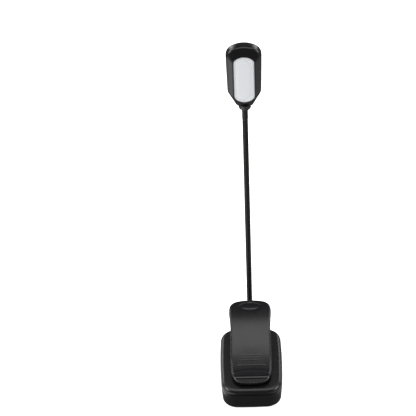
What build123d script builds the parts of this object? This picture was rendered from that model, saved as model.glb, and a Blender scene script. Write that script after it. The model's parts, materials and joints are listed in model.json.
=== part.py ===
"""Clip-on reading lamp: battery base lying flat, sprung clip on top, gooseneck and LED head.

Millimetres. +Z is up, the jaw points to -Y (front), the neck leaves the rear wall (+Y), and X = 0 is
the plane of symmetry of the outside. The origin is the centre of the base on the surface it stands on.
"""
from build123d import *
from math import cos, degrees, pi, radians, sin
import os

# ---- base ----
BASE_WIDTH = 50.0
BASE_LENGTH = 74.6
BASE_TOP = 20.0
SIDE_BULGE = 1.2
END_BULGE = 0.9
CORNER_RADIUS = 13.0
DRAFT = 4.1
PARTING = 16.0
SEAM = 0.6
LIP_DEPTH = 1.4
WALL = 1.8
TOP_FILLET = 3.7
BOTTOM_FILLET = 1.4
FOOT_HEIGHT = 0.8
FLOOR_TOP = FOOT_HEIGHT + WALL
STRIP_DEPTH = 0.8
STRIP_OUTER_X, STRIP_INNER_X = 20.6, 16.5
STRIP_OUTER_Y, STRIP_INNER_Y = 32.6, 28.4
STRIP_REAR = 24.0
BAR_HALF_WIDTH = 11.5
SCREW_PLACES = [(19.6, -19.0), (-19.6, -19.0), (17.0, 29.3), (-17.0, 29.3)]
POST_RADIUS = 2.4
SCREW_RADIUS = 1.0

# ---- batteries: three AAA cells side by side ----
CELL_RADIUS = 5.2
CELL_LENGTH = 44.0
CELL_PITCH = 10.7
CELL_Z = FLOOR_TOP + 0.5 + CELL_RADIUS
BAY_HALF_WIDTH = 16.4
BAY_FRONT, BAY_REAR = -32.2, 16.0
BAY_MIDDLE = (BAY_FRONT + BAY_REAR) / 2
PLATE = 0.4
DOOR_HALF_WIDTH = 15.5
DOOR_FRONT, DOOR_REAR = -26.5, 12.5
DOOR_GAP = 0.3

# ---- slide switch in the right-hand wall ----
SWITCH_Y, SWITCH_Z = 21.0, 8.5
SWITCH_TRAVEL = 3.2
KNOB_LENGTH, KNOB_HEIGHT = 3.2, 2.6

# ---- clip ----
HINGE_Y, HINGE_Z = 15.0, 25.0
PIN_RADIUS = 1.2
EAR_RADIUS = 3.0
EAR_INNER, EAR_OUTER = 11.4, 14.2
LUG_INNER, LUG_OUTER = 8.2, 11.1
LEVER_THICKNESS = 2.2
LEVER_RADIUS = 80.3
LEVER_START_Y, LEVER_START_Z = -14.0, 24.5
LEVER_START_SLOPE, LEVER_END_SLOPE = 2.0, 46.0
LEVER_TIP_Y, LEVER_END_Y = -31.5, 39.8
LEVER_RIM, LEVER_DISH = 1.3, 0.5
PAD_TOP = 20.7
PAD_GAP = 0.08
SPRING_WIRE, SPRING_COIL = 0.4, 2.15

# ---- neck ----
NECK_RADIUS = 2.0
NECK_BORE = 1.35
NECK_START_Y = 27.0
NECK_EXIT_Z = 10.5
NECK_LEAD = 16.0
NECK_BEND = 25.0
NECK_Y = NECK_START_Y + NECK_LEAD + NECK_BEND
NECK_BEND_TOP = NECK_EXIT_Z + NECK_BEND
NECK_TOP = 230.0
JOINT_FIRST_Z = 40.0
JOINT_STEP = 22.0
JOINT_COUNT = 9
JOINT_GAP = 1.4

# ---- head: flat on the plane of the neck, facing front ----
HEAD_FRONT = NECK_Y - 6.0
RIM_FRONT = HEAD_FRONT + 2.0
SEAM_Y = RIM_FRONT + 2.6
HEAD_BACK = SEAM_Y + 6.0
HEAD_TOP, HEAD_BOTTOM = 287.4, 230.4
HEAD_HALF_TOP, HEAD_HALF_LOW, HEAD_HALF_FOOT = 13.85, 13.1, 5.9
HEAD_SHOULDER, HEAD_HIP = 277.0, 244.5
WINDOW_TOP, WINDOW_BOTTOM = 279.2, 235.2
WINDOW_HALF = 7.8
HEAD_WALL = 1.2


def block(x0, x1, y0, y1, z0, z1):
    """Box between two corners."""
    centre = ((x0 + x1) / 2, (y0 + y1) / 2, (z0 + z1) / 2)
    return Pos(*centre) * Box(x1 - x0, y1 - y0, z1 - z0)


def rod_x(radius, x0, x1, y, z):
    """Cylinder along X."""
    return Pos((x0 + x1) / 2, y, z) * Rot(0, 90, 0) * Cylinder(radius, x1 - x0)


def rod_y(radius, y0, y1, x, z):
    """Cylinder along Y."""
    return Pos(x, (y0 + y1) / 2, z) * Rot(90, 0, 0) * Cylinder(radius, y1 - y0)


def rod_z(radius, z0, z1, x, y):
    """Cylinder along Z."""
    return Pos(x, y, (z0 + z1) / 2) * Cylinder(radius, z1 - z0)


def cone_z(r0, r1, z0, z1, x, y):
    """Cone along Z."""
    return Pos(x, y, (z0 + z1) / 2) * Cone(r0, r1, z1 - z0)


def wire_run(radius, points, bend):
    """Round wire along straight runs with bent corners."""
    path = FilletPolyline(*points, radius=bend)
    section = Plane(origin=path @ 0, z_dir=path % 0) * Circle(radius)
    return sweep(section, path=path)


def group(solids):
    """Several separate solids that share one node."""
    return Compound(children=[s for item in solids for s in item.solids()])


# ---------------------------------------------------------------- base
def base_outline(inset, z):
    """Plan of the base: sides and ends bow outwards, and the corners are round."""
    side = BASE_WIDTH / 2 - inset
    end = BASE_LENGTH / 2 - inset
    corner_x = side - SIDE_BULGE
    corner_y = end - END_BULGE
    edges = Curve() + [
        ThreePointArc((corner_x, -corner_y), (side, 0), (corner_x, corner_y)),
        ThreePointArc((corner_x, corner_y), (0, end), (-corner_x, corner_y)),
        ThreePointArc((-corner_x, corner_y), (-side, 0), (-corner_x, -corner_y)),
        ThreePointArc((-corner_x, -corner_y), (0, -end), (corner_x, -corner_y)),
    ]
    face = make_face(edges)
    face = fillet(face.vertices(), CORNER_RADIUS - inset)
    return Pos(0, 0, z) * face


def rubber_plan(gap):
    """U-shaped strip and rear bar, notched at the screws, with a gap all round for their pockets."""
    top = FOOT_HEIGHT + STRIP_DEPTH
    outer = RectangleRounded(2 * (STRIP_OUTER_X + gap), 2 * (STRIP_OUTER_Y + gap), 9.5)
    inner = RectangleRounded(2 * (STRIP_INNER_X - gap), 2 * (STRIP_INNER_Y - gap), 2.0)
    strips = extrude(outer, amount=top) - extrude(inner, amount=top)
    strips -= block(-25, 25, STRIP_REAR + gap, 40, 0, top)
    bar = BAR_HALF_WIDTH + gap
    strips += block(-bar, bar, STRIP_INNER_Y + 0.2 - gap, STRIP_OUTER_Y - 0.2 + gap, 0, top)
    for x, y in SCREW_PLACES:
        strips -= rod_z(2.4 - gap, 0, top, x, y)
    return strips


def base_lower_shell():
    """Tray with the drafted walls, the battery bay, the posts and the door opening."""
    below = base_outline(0, PARTING - SEAM)
    body = extrude(below, amount=PARTING - SEAM - FOOT_HEIGHT, dir=(0, 0, -1), taper=DRAFT)
    body = fillet(body.edges().group_by(Axis.Z)[0], BOTTOM_FILLET)
    body += extrude(base_outline(SEAM, PARTING - SEAM), amount=SEAM)
    cavity = extrude(base_outline(WALL, PARTING), amount=PARTING - FLOOR_TOP, dir=(0, 0, -1), taper=DRAFT)
    body -= cavity
    for x, y in SCREW_PLACES:
        body += rod_z(POST_RADIUS, FLOOR_TOP - 0.5, PARTING - LIP_DEPTH, x, y)
    bay_top = 13.8
    body += block(-BAY_HALF_WIDTH, BAY_HALF_WIDTH, BAY_REAR, BAY_REAR + 1.2, FLOOR_TOP - 0.5, bay_top)
    for side in (-1, 1):
        inner, outer = sorted((side * BAY_HALF_WIDTH, side * (BAY_HALF_WIDTH + 0.9)))
        body += block(inner, outer, DOOR_FRONT, BAY_REAR + 1.2, FLOOR_TOP - 0.5, bay_top - 4)
        body += rod_z(2.1, FLOOR_TOP - 0.5, 6.4, side * 7.6, 30.2)
    for x, y in SCREW_PLACES:
        body -= rod_z(SCREW_RADIUS + 0.15, 0, BASE_TOP, x, y)
        body -= rod_z(1.9, 0, 5.0, x, y)
    for side in (-1, 1):
        body -= rod_z(0.75, 3.2, 7.0, side * 7.6, 30.2)
    body -= rubber_plan(0.1)
    body -= block(-DOOR_HALF_WIDTH, DOOR_HALF_WIDTH, DOOR_FRONT, DOOR_REAR, 0, FLOOR_TOP + 0.1)
    body -= rod_y(3.5, 30, 45, 0, NECK_EXIT_Z)
    pocket = (SWITCH_Y - 5.2, SWITCH_Y + 5.2, SWITCH_Z - 3.0, SWITCH_Z + 3.0)
    body -= block(22.9, 30, *pocket)
    body -= block(20, 30, SWITCH_Y - 3.7, SWITCH_Y + 3.7, SWITCH_Z - 1.6, SWITCH_Z + 1.6)
    return body


def hinge_ear(side):
    """Upright ear of the top cover that holds one end of the hinge pin."""
    inner, outer = sorted((side * EAR_INNER, side * EAR_OUTER))
    ear = rod_x(EAR_RADIUS, inner, outer, HINGE_Y, HINGE_Z)
    ear += block(inner, outer, HINGE_Y - EAR_RADIUS, HINGE_Y + EAR_RADIUS, BASE_TOP - 1, HINGE_Z)
    return ear


def base_upper_shell():
    """Cover with the rounded top edge, a locating lip, screw bosses and two hinge ears."""
    body = extrude(base_outline(0, PARTING), amount=BASE_TOP - PARTING)
    body = fillet(body.edges().group_by(Axis.Z)[-1], TOP_FILLET)
    body -= extrude(base_outline(WALL + 0.5, PARTING), amount=BASE_TOP - WALL - PARTING)
    lip = extrude(base_outline(WALL + 0.35, PARTING - LIP_DEPTH), amount=LIP_DEPTH + 0.1)
    lip -= extrude(base_outline(WALL + 1.25, PARTING - LIP_DEPTH - 0.1), amount=LIP_DEPTH + 0.3)
    body += lip
    for x, y in SCREW_PLACES:
        body += rod_z(POST_RADIUS, PARTING - LIP_DEPTH, BASE_TOP - 1.0, x, y)
        body -= rod_z(SCREW_RADIUS - 0.1, PARTING - 2, BASE_TOP - 1.6, x, y)
    for side in (-1, 1):
        body += hinge_ear(side)
    body -= rod_x(PIN_RADIUS + 0.01, -20, 20, HINGE_Y, HINGE_Z)
    body -= block(-9.6, 9.6, -29.3, -16.4, BASE_TOP - 0.7, BASE_TOP + 1)
    return body


def base_grip_pad():
    """Ribbed rubber pad let into the cover under the jaw."""
    pad = block(-9.5, 9.5, -29.2, -16.5, BASE_TOP - 0.7, PAD_TOP)
    for i in range(5):
        y = -28.0 + i * 2.6
        pad -= block(-12, 12, y - 0.35, y + 0.35, PAD_TOP - 0.3, PAD_TOP + 1)
    return pad


def base_screws():
    """Four screws that come up from below and close the base."""
    screws = []
    for x, y in SCREW_PLACES:
        screw = rod_z(SCREW_RADIUS - 0.12, 5.0, BASE_TOP - 2.2, x, y)
        screw += rod_z(1.75, 3.7, 5.0, x, y)
        screw -= block(x - 0.25, x + 0.25, y - 1.2, y + 1.2, 3, 4.2)
        screw -= block(x - 1.2, x + 1.2, y - 0.25, y + 0.25, 3, 4.2)
        screws.append(screw)
    return group(screws)


def rubber_strips():
    """Rubber the base stands on: a U round the battery door and a bar behind it."""
    return group([rubber_plan(0)])


def battery_cell(index):
    """AAA cell lying along Y, its raised terminal against a plate and its flat end on a spring."""
    x = (index - 2) * CELL_PITCH
    front = BAY_REAR - PLATE - 0.02 - CELL_LENGTH
    cell = rod_y(CELL_RADIUS, front, front + CELL_LENGTH - 1, x, CELL_Z)
    cell = fillet(cell.edges().filter_by(GeomType.CIRCLE), 0.5)
    cell += rod_y(1.9, front + CELL_LENGTH - 1.5, front + CELL_LENGTH, x, CELL_Z)
    if index == 2:
        cell = mirror(cell, about=Plane(origin=(0, BAY_MIDDLE, 0), z_dir=(0, 1, 0)))
    return cell


def battery_springs():
    """Coil contacts that push on the flat end of each cell."""
    springs = []
    for index in (1, 2, 3):
        x = (index - 2) * CELL_PITCH
        at_front = index != 2
        coil = Helix(pitch=1.1, height=2.5, radius=3.0)
        section = Plane(origin=coil @ 0, z_dir=coil % 0) * Circle(0.28)
        turn = -90 if at_front else 90
        y = BAY_FRONT + 0.8 if at_front else BAY_REAR - 0.8
        springs.append(Pos(x, y, CELL_Z) * Rot(turn, 0, 0) * sweep(section, path=coil, is_frenet=True))
    return group(springs)


def battery_plates():
    """Thin plated contacts standing against both ends of the bay."""
    plates = []
    for index in (1, 2, 3):
        x = (index - 2) * CELL_PITCH
        plates.append(block(x - 4.2, x + 4.2, BAY_FRONT, BAY_FRONT + PLATE, 3.6, 12.6))
        plates.append(block(x - 4.2, x + 4.2, BAY_REAR - PLATE, BAY_REAR, 3.6, 12.6))
    return group(plates)


def battery_door():
    """Snap-in cover in the underside, with a finger notch and two inner ribs."""
    gap = DOOR_GAP
    x1 = DOOR_HALF_WIDTH - gap
    door = block(-x1, x1, DOOR_FRONT + gap, DOOR_REAR - gap, FOOT_HEIGHT, FLOOR_TOP - 0.2)
    for x in (-CELL_PITCH / 2, CELL_PITCH / 2):
        door += block(x - 0.3, x + 0.3, DOOR_FRONT + 3, DOOR_REAR - 3, FLOOR_TOP - 0.4, FLOOR_TOP + 0.3)
    door -= rod_x(1.3, -5, 5, DOOR_REAR - 3.5, FOOT_HEIGHT - 0.4)
    for i in range(3):
        y = DOOR_REAR - 7.0 - i * 1.6
        door -= block(-5, 5, y - 0.3, y + 0.3, 0, FOOT_HEIGHT + 0.3)
    return door


# ---------------------------------------------------------------- electrics in the base
def control_board():
    """Driver board lying on the neck anchor and the bay wall."""
    board = block(-13, 13, 16.8, 33.0, 14.1, 15.2)
    board -= rod_z(1.1, 13, 16, -11.2, 31.2)
    return board


def board_parts():
    """Driver chip, coil and capacitors on the board."""
    parts = [
        block(-3, 2, 21, 25, 15.2, 16.6),
        rod_z(2.4, 15.2, 17.4, 7.5, 22.5),
        block(-10, -7, 20, 21.6, 15.2, 16.2),
        block(-10, -7, 23.5, 25.1, 15.2, 16.2),
        block(4, 7, 28.5, 30.0, 15.2, 16.2),
    ]
    return group(parts)


def switch_body():
    """Closed body of the slide switch with its three pins."""
    body = block(17.5, 21.2, SWITCH_Y - 3.0, SWITCH_Y + 4.4, SWITCH_Z - 2.2, SWITCH_Z + 2.2)
    for y in (-1.6, 0.8, 3.2):
        body += block(16.4, 17.6, SWITCH_Y + y - 0.3, SWITCH_Y + y + 0.3, SWITCH_Z - 0.2, SWITCH_Z + 0.2)
    return body


def switch_knob():
    """Ridged knob in the wall slot. It stands at the rear stop, which is off."""
    y1 = SWITCH_Y + 3.4
    y0 = y1 - KNOB_LENGTH
    z0, z1 = SWITCH_Z - KNOB_HEIGHT / 2, SWITCH_Z + KNOB_HEIGHT / 2
    knob = block(21.3, 23.55, y0, y1, z0, z1)
    for i in range(3):
        y = y0 + 0.7 + i * 0.9
        knob -= block(23.25, 24, y - 0.2, y + 0.2, z0 - 1, z1 + 1)
    return knob


def base_leads():
    """Insulated wires from the neck, the switch and the batteries to the board."""
    top = 14.0
    leads = []
    for side in (-1, 1):
        x = side * 0.62
        leads.append(wire_run(0.45, [(x, 26.8, 10.5), (x, 21.5, 10.5), (x, 21.5, top)], 2.0))
    leads.append(wire_run(0.45, [(16.3, 21.8, 8.5), (11.5, 21.8, 8.5), (11.5, 21.8, top)], 2.0))
    leads.append(wire_run(0.45, [(-9.5, 18.3, 8.0), (-9.5, 21.5, 8.0), (-9.5, 21.5, top)], 1.4))
    return group(leads)


# ---------------------------------------------------------------- clip
def lever_point(slope, depth):
    """Point of the lever's arc at a slope in degrees, a depth below its top face."""
    start = radians(LEVER_START_SLOPE)
    angle = radians(slope)
    centre_y = LEVER_START_Y - LEVER_RADIUS * sin(start)
    centre_z = LEVER_START_Z + LEVER_RADIUS * cos(start)
    reach = LEVER_RADIUS + depth
    return (centre_y + reach * sin(angle), centre_z - reach * cos(angle))


def lever_strip(above, depth):
    """Long curved strip in side view, drawn across X, from above the top face to a depth."""
    middle = (LEVER_START_SLOPE + LEVER_END_SLOPE) / 2
    front = LEVER_TIP_Y - 1
    flat_top = LEVER_START_Z + above
    upper = [lever_point(s, -above) for s in (LEVER_START_SLOPE, middle, LEVER_END_SLOPE)]
    lower = [lever_point(s, depth) for s in (LEVER_END_SLOPE, middle, LEVER_START_SLOPE)]
    low_z = lower[2][1]
    edges = Curve() + [
        Line((front, flat_top - 0.9), (-25.6, flat_top - 0.1)),
        Line((-25.6, flat_top - 0.1), upper[0]),
        ThreePointArc(*upper),
        Line(upper[2], lower[0]),
        ThreePointArc(*lower),
        Line(lower[2], (front, low_z)),
        Line((front, low_z), (front, flat_top - 0.9)),
    ]
    side_view = Plane(origin=(0, 0, 0), x_dir=(0, 1, 0), z_dir=(1, 0, 0)) * make_face(edges)
    return extrude(side_view, amount=25, both=True)


def lever_plan(inset):
    """Plan of the lever: round front end, waist under the handle, round handle end."""
    def x(value):
        return value - inset

    front, end = LEVER_TIP_Y + inset, LEVER_END_Y - inset
    right = [
        ThreePointArc((0, front), (x(7.2), front + 0.55), (x(11.6), front + 2.6)),
        ThreePointArc((x(11.6), front + 2.6), (x(14.3), front + 6.2), (x(15.2), front + 11.0)),
        Spline((x(15.2), front + 11.0), (x(16.6), -4), (x(16.2), 21), (x(17.0), 31.5)),
        ThreePointArc((x(17.0), 31.5), (x(15.9), end - 3.0), (x(11.6), end - 0.9)),
        ThreePointArc((x(11.6), end - 0.9), (x(6.0), end - 0.2), (0, end)),
    ]
    left = [mirror(edge, about=Plane.YZ) for edge in right]
    return make_face(Curve() + right + left)


def clip_lever():
    """Curved one-piece lever: jaw in front, dished handle behind, two lugs on the hinge pin."""
    column = extrude(lever_plan(0), amount=60)
    body = column & lever_strip(0, LEVER_THICKNESS)
    body -= extrude(lever_plan(LEVER_RIM), amount=60) & lever_strip(2, LEVER_DISH)
    scoop = rod_x(9.0, -13.2, 13.2, -20.0, 32.0)
    body -= scoop
    skirt = column & block(-20, 20, 21, 36.5, 20, 60)
    skirt -= extrude(lever_plan(1.4), amount=60)
    body += skirt & lever_strip(-0.5, LEVER_THICKNESS + 1.8)
    for side in (-1, 1):
        inner, outer = sorted((side * LUG_INNER, side * LUG_OUTER))
        lug = rod_x(EAR_RADIUS - 0.1, inner, outer, HINGE_Y, HINGE_Z)
        web = block(inner, outer, HINGE_Y - 2.9, HINGE_Y + 2.9, HINGE_Z, HINGE_Z + 8)
        body += lug
        body += web & lever_strip(-0.5, 12)
    body -= rod_x(PIN_RADIUS + 0.06, -20, 20, HINGE_Y, HINGE_Z)
    return body


def jaw_pad():
    """Ribbed rubber pad under the jaw."""
    top = lever_point(LEVER_START_SLOPE, LEVER_THICKNESS)[1]
    low = PAD_TOP + PAD_GAP
    pad = block(-9.0, 9.0, -28.8, -17.0, low, top)
    for i in range(4):
        y = -26.7 + i * 2.6
        pad -= block(-12, 12, y - 0.35, y + 0.35, low - 1, low + 0.35)
    return pad


def hinge_pin():
    """Steel pin pressed into the two ears of the cover."""
    return rod_x(PIN_RADIUS, -EAR_OUTER, EAR_OUTER, HINGE_Y, HINGE_Z)


def clip_spring():
    """Torsion spring on the pin, with one leg on the cover and one under the handle."""
    half = 3.75
    coil = Helix(pitch=1.0, height=2 * half, radius=SPRING_COIL, lefthand=True)
    section = Plane(origin=coil @ 0, z_dir=coil % 0) * Circle(SPRING_WIRE)
    spring = Pos(-half, HINGE_Y, HINGE_Z) * Rot(0, 90, 0) * sweep(section, path=coil, is_frenet=True)
    lower = Line((-half, HINGE_Y, HINGE_Z - SPRING_COIL), (-half, 27.0, BASE_TOP + 0.5))
    upper = Line((half, HINGE_Y, HINGE_Z + SPRING_COIL), (half, 27.0, 34.0))
    for leg in (lower, upper):
        spring += sweep(Plane(origin=leg @ 0, z_dir=leg % 0) * Circle(SPRING_WIRE), path=leg)
    return spring


# ---------------------------------------------------------------- neck
def joint_lengths():
    """Distances along the neck's centreline at which it bends, counted from its root."""
    first = NECK_LEAD + NECK_BEND * pi / 4
    after_bend = NECK_LEAD + NECK_BEND * pi / 2
    upright = [after_bend + JOINT_FIRST_Z + i * JOINT_STEP - NECK_BEND_TOP for i in range(JOINT_COUNT - 1)]
    return [first] + upright


def neck_run(radius, start, end):
    """Round rod along the neck's centreline between two distances from its root."""
    bend_start, bend_end = NECK_LEAD, NECK_LEAD + NECK_BEND * pi / 2
    pieces = []
    if start < bend_start:
        stop = min(end, bend_start)
        pieces.append(rod_y(radius, NECK_START_Y + start, NECK_START_Y + stop, 0, NECK_EXIT_Z))
    if end > bend_start and start < bend_end:
        a = max(start, bend_start) - bend_start
        b = min(end, bend_end) - bend_start
        centre = (0, NECK_START_Y + NECK_LEAD, NECK_BEND_TOP)
        disc = Plane(origin=(0, 0, -NECK_BEND), z_dir=(0, 1, 0)) * Circle(radius)
        bow = revolve(disc, axis=Axis.X, revolution_arc=degrees((b - a) / NECK_BEND))
        pieces.append(Pos(*centre) * Rot(degrees(a / NECK_BEND), 0, 0) * bow)
    if end > bend_end:
        z0 = NECK_BEND_TOP + max(start, bend_end) - bend_end
        pieces.append(rod_z(radius, z0, NECK_BEND_TOP + end - bend_end, 0, NECK_Y))
    run = pieces[0]
    for piece in pieces[1:]:
        run += piece
    return run


def neck_span(index):
    """Start and end of one link of the neck."""
    total = NECK_LEAD + NECK_BEND * pi / 2 + NECK_TOP - NECK_BEND_TOP
    stops = joint_lengths()
    start = 0 if index == 0 else stops[index - 1] + JOINT_GAP / 2
    end = total if index == JOINT_COUNT else stops[index] - JOINT_GAP / 2
    return start, end


def neck_link(index):
    """Hollow stretch of the coiled metal hose between two bends."""
    start, end = neck_span(index)
    return neck_run(NECK_RADIUS, start, end) - neck_run(NECK_BORE, start, end)


def neck_wire(index):
    """Stretch of the two-core wire inside one link."""
    start, end = neck_span(index)
    return neck_run(NECK_BORE - 0.2, start, end)


def neck_gland():
    """Flanged bush that guides the neck through the rear wall."""
    bush = rod_y(3.3, 34.2, 38.0, 0, NECK_EXIT_Z)
    bush += rod_y(3.9, 33.7, 34.7, 0, NECK_EXIT_Z)
    bush += rod_y(4.4, 37.35, 38.4, 0, NECK_EXIT_Z)
    taper = Pos(0, 40.2, NECK_EXIT_Z) * Rot(-90, 0, 0) * Cone(3.6, 2.7, 3.6)
    bush += taper
    return bush - rod_y(NECK_RADIUS + 0.02, 30, 45, 0, NECK_EXIT_Z)


def neck_anchor():
    """Metal block that grips the root of the neck, with a flange for two screws."""
    body = block(-4.2, 4.2, 27.0, 33.5, 6.5, 14.0)
    body += block(-9.8, 9.8, 28.0, 32.4, 6.5, 8.2)
    body -= rod_y(NECK_RADIUS + 0.02, 25, 40, 0, NECK_EXIT_Z)
    for side in (-1, 1):
        body -= rod_z(0.95, 6, 9, side * 7.6, 30.2)
    return body


def anchor_screws():
    """Two screws that hold the anchor on its bosses."""
    screws = []
    for side in (-1, 1):
        x = side * 7.6
        screw = rod_z(0.7, 3.6, 8.3, x, 30.2) + rod_z(1.5, 8.2, 9.3, x, 30.2)
        screw -= block(x - 1.0, x + 1.0, 30.0, 30.4, 8.8, 10)
        screws.append(screw)
    return group(screws)


# ---------------------------------------------------------------- head
def front_face(edges, y):
    """Flat face drawn as X and Z, standing upright at a depth y."""
    upright = Plane(origin=(0, y, 0), x_dir=(1, 0, 0), z_dir=(0, -1, 0))
    return upright * make_face(Curve() + edges)


def head_face(inset, y):
    """Outline of the head: domed top, nearly straight sides, tapered foot."""
    top, foot = HEAD_TOP - inset, HEAD_BOTTOM + inset
    a = HEAD_HALF_TOP - inset
    b = HEAD_HALF_LOW - inset
    c = HEAD_HALF_FOOT - 0.4 * inset
    corner = (a * 0.72, HEAD_SHOULDER + (top - HEAD_SHOULDER) * 0.71)
    left = (-corner[0], corner[1])
    edges = [
        ThreePointArc(left, (0, top), corner),
        ThreePointArc(corner, (a * 0.94, HEAD_SHOULDER + (top - HEAD_SHOULDER) * 0.36), (a, HEAD_SHOULDER)),
        Line((a, HEAD_SHOULDER), (b, HEAD_HIP)),
        Line((b, HEAD_HIP), (c, foot)),
        Line((c, foot), (-c, foot)),
        Line((-c, foot), (-b, HEAD_HIP)),
        Line((-b, HEAD_HIP), (-a, HEAD_SHOULDER)),
        ThreePointArc((-a, HEAD_SHOULDER), (-a * 0.94, HEAD_SHOULDER + (top - HEAD_SHOULDER) * 0.36), left),
    ]
    return front_face(edges, y)


def window_face(grow, y):
    """Outline of the window: straight sides and low arches at both ends."""
    half = WINDOW_HALF + grow
    top, foot = WINDOW_TOP + grow, WINDOW_BOTTOM - grow
    rise = 6.6
    knee = 0.70 * half
    edges = []
    for sign, end in ((1, top), (-1, foot)):
        z0 = end - sign * rise
        z1 = end - sign * 1.9
        edges += [
            ThreePointArc((-half, z0), (-0.93 * half, end - sign * 3.9), (-knee, z1)),
            ThreePointArc((-knee, z1), (0, end), (knee, z1)),
            ThreePointArc((knee, z1), (0.93 * half, end - sign * 3.9), (half, z0)),
        ]
    edges.append(Line((half, top - rise), (half, foot + rise)))
    edges.append(Line((-half, top - rise), (-half, foot + rise)))
    return front_face(edges, y)


def head_screw_places():
    """Centres of the two screws above the window."""
    return [(-6.2, 282.5), (6.2, 282.5)]


def head_rear_shell():
    """Back cover of the head with a rounded rear edge and a fine seam at the front."""
    body = extrude(head_face(0, HEAD_BACK), amount=HEAD_BACK - SEAM_Y - 0.4)
    body = fillet(body.edges().group_by(Axis.Y)[-1], 2.2)
    body += extrude(head_face(0.3, SEAM_Y + 0.5), amount=0.5)
    body -= extrude(head_face(HEAD_WALL, HEAD_BACK - HEAD_WALL), amount=8)
    for x, z in head_screw_places():
        body += rod_y(1.8, SEAM_Y, HEAD_BACK - 1.0, x, z)
        body -= rod_y(1.0, SEAM_Y - 1, HEAD_BACK + 1, x, z)
        body -= rod_y(1.5, HEAD_BACK - 2.2, HEAD_BACK + 1, x, z)
    return body - rod_z(2.45, 220, 234, 0, NECK_Y)


def head_bezel():
    """Front frame: its faces slope back from the window to the rim."""
    body = extrude(head_face(0, SEAM_Y), amount=SEAM_Y - RIM_FRONT)
    slope = loft([head_face(0, RIM_FRONT), head_face(3.4, HEAD_FRONT)], ruled=True)
    body += slope
    body -= extrude(head_face(HEAD_WALL, SEAM_Y + 0.1), amount=SEAM_Y - RIM_FRONT - 0.5)
    for x, z in head_screw_places():
        body += rod_y(1.8, RIM_FRONT, SEAM_Y, x, z)
        body -= rod_y(0.75, RIM_FRONT + 0.4, SEAM_Y + 1, x, z)
    body -= extrude(window_face(0.08, SEAM_Y + 1), amount=10)
    return body - rod_z(2.45, 220, 234, 0, NECK_Y)


def lens_diffuser():
    """Milky window with a raised inner panel and a flange behind the bezel."""
    body = extrude(window_face(0, RIM_FRONT + 0.6), amount=RIM_FRONT + 0.6 - HEAD_FRONT - 0.6)
    body += extrude(window_face(-1.7, RIM_FRONT), amount=RIM_FRONT - HEAD_FRONT - 0.35)
    body += extrude(window_face(0.6, RIM_FRONT + 1.3), amount=0.7)
    return body


def reflector():
    """White tray rim that carries the light from the board to the window."""
    y = RIM_FRONT + 3.2
    return extrude(window_face(0.4, y), amount=1.8) - extrude(window_face(-1.2, y + 1), amount=4)


def led_board():
    """Narrow board behind the reflector."""
    y = RIM_FRONT + 3.3
    return block(-6.4, 6.4, y, y + 0.9, 236.5, 278.0)


def led_chips():
    """Six small light-emitting chips in a row of three pairs."""
    y = RIM_FRONT + 3.3
    chips = []
    for z in (243.0, 257.2, 271.4):
        for x in (-3.2, 3.2):
            chips.append(block(x - 1.4, x + 1.4, y - 0.7, y, z - 1.8, z + 1.8))
    return group(chips)


def head_screws():
    """Two screws from the back that join the shell and the bezel."""
    screws = []
    for x, z in head_screw_places():
        screw = rod_y(0.7, RIM_FRONT + 0.6, HEAD_BACK - 2.2, x, z)
        screw += rod_y(1.4, HEAD_BACK - 2.2, HEAD_BACK - 1.1, x, z)
        screw -= block(x - 1.0, x + 1.0, HEAD_BACK - 1.7, HEAD_BACK, z - 0.2, z + 0.2)
        screws.append(screw)
    return group(screws)


def neck_ferrule():
    """Metal sleeve crimped on the top of the neck."""
    sleeve = rod_z(2.35, 216.0, 232.0, 0, NECK_Y)
    sleeve += cone_z(2.12, 2.35, 214.0, 216.0, 0, NECK_Y)
    return sleeve - rod_z(NECK_RADIUS + 0.02, 210, 240, 0, NECK_Y)


def head_collar():
    """Bowl-shaped collar between the head's foot and the neck."""
    bowl = Pos(0, NECK_Y, HEAD_BOTTOM - 1.0) * Sphere(5.4)
    collar = bowl & rod_z(4.8, HEAD_BOTTOM - 5.5, HEAD_BOTTOM, 0, NECK_Y)
    return collar - rod_z(2.37, 220, 240, 0, NECK_Y)


def head_leads():
    """Two wires from the top of the neck to the board."""
    leads = []
    for x in (-0.62, 0.62):
        y = NECK_Y + 1.3
        leads.append(wire_run(0.45, [(x, y, 230.2), (x, y, 240.0), (x, y - 1.0, 240.0)], 0.7))
    return group(leads)


def build_nodes():
    """Every node of the lamp by name."""
    nodes = {
        "base_lower_shell": base_lower_shell(),
        "base_upper_shell": base_upper_shell(),
        "base_grip_pad": base_grip_pad(),
        "base_screws": base_screws(),
        "rubber_strips": rubber_strips(),
        "battery_springs": battery_springs(),
        "battery_plates": battery_plates(),
        "battery_door": battery_door(),
        "control_board": control_board(),
        "board_parts": board_parts(),
        "switch_body": switch_body(),
        "switch_knob": switch_knob(),
        "base_leads": base_leads(),
        "clip_lever": clip_lever(),
        "jaw_pad": jaw_pad(),
        "hinge_pin": hinge_pin(),
        "clip_spring": clip_spring(),
        "neck_gland": neck_gland(),
        "neck_anchor": neck_anchor(),
        "anchor_screws": anchor_screws(),
        "neck_ferrule": neck_ferrule(),
        "head_collar": head_collar(),
        "head_rear_shell": head_rear_shell(),
        "head_bezel": head_bezel(),
        "lens_diffuser": lens_diffuser(),
        "reflector": reflector(),
        "led_board": led_board(),
        "led_chips": led_chips(),
        "head_screws": head_screws(),
        "head_leads": head_leads(),
    }
    for index in (1, 2, 3):
        nodes[f"battery_cell_{index}"] = battery_cell(index)
    for index in range(JOINT_COUNT + 1):
        nodes[f"neck_link_{index:02d}"] = neck_link(index)
        nodes[f"neck_wire_{index:02d}"] = neck_wire(index)
    return nodes


os.makedirs("parts", exist_ok=True)
for name, shape in build_nodes().items():
    export_step(shape, f"parts/{name}.step")
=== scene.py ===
"""Clip-on reading lamp: the looks of every piece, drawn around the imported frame."""
import json
import math

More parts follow.
